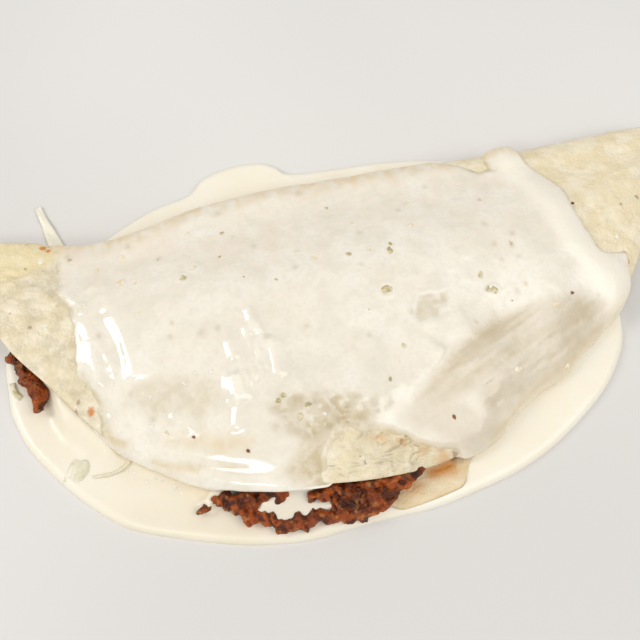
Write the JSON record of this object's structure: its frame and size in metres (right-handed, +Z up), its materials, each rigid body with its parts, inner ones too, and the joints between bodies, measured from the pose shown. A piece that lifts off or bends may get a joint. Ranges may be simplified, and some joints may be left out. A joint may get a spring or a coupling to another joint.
{
  "type": "quesadilla",
  "caption": "Flour tortilla folded in half over chopped beef, covered in white cheese sauce that has run into a pool round it.",
  "frame": {"origin": "middle of the footprint, on the surface that the sauce pool lies on", "axes": "+Z up, +X along the fold from the left tip to the right tip, the open rim towards -Y"},
  "size_m": [0.3, 0.1695, 0.0325],
  "materials": {
    "tortilla": "soft floury flour tortilla with toasted spots",
    "beef": "greasy chopped beef",
    "queso": "wet smooth white cheese sauce",
    "lettuce": "wet pale lettuce"
  },
  "bodies": {
    "root": {"tortilla": "tortilla", "beef_filling": "beef", "queso_coat": "queso", "queso_pool": "queso", "lettuce_1": "lettuce", "lettuce_2": "lettuce", "lettuce_3": "lettuce", "lettuce_4": "lettuce", "lettuce_5": "lettuce"}
  },
  "joints": []
}
